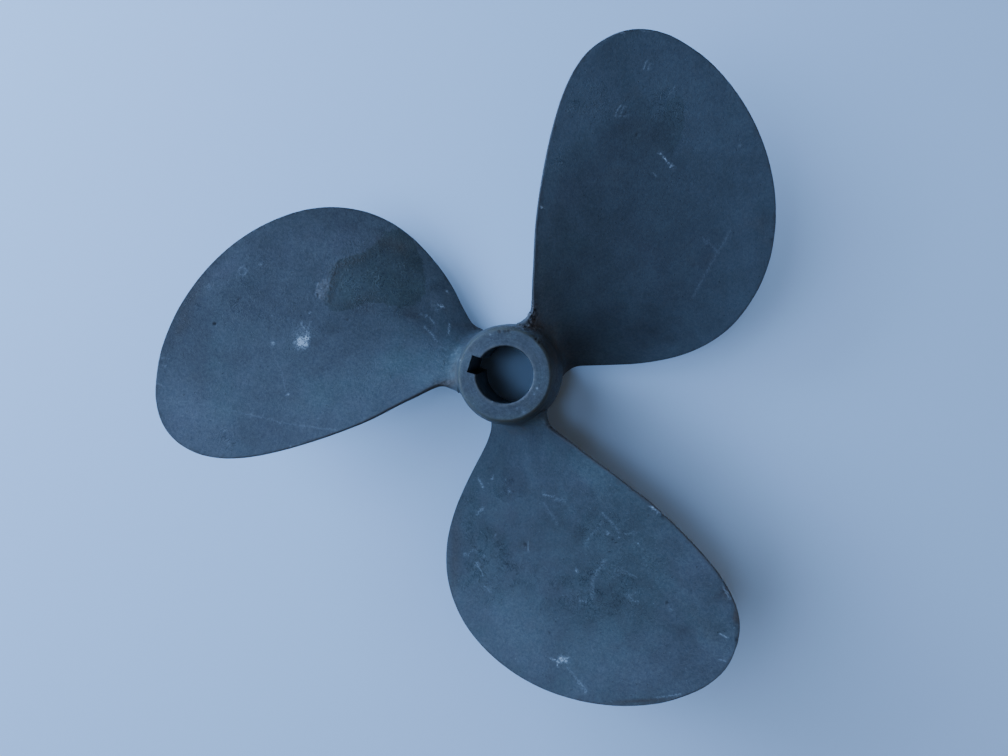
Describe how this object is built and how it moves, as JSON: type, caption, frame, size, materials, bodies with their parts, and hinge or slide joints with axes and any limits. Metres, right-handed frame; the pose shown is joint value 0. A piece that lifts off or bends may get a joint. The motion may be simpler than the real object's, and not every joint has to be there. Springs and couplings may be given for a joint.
{
  "type": "ship propeller",
  "caption": "Small boat propeller cast in one piece in bronze, with broad raked blades, a barrel hub, and a tapered bore with a through keyway.",
  "frame": {"origin": "centre of mass, on the shaft axis, 21 mm below the aft hub face", "axes": "+Z along the shaft axis towards the aft, small end of the hub, +X from the axis through the middle of the keyway, +Y right-handed from these"},
  "size_m": [0.2856, 0.2918, 0.077],
  "materials": {
    "weathered_bronze": "bronze casting with a dull slate-grey to brown patina, stains and scratches"
  },
  "bodies": {
    "root": {"propeller": "weathered_bronze"}
  },
  "joints": []
}
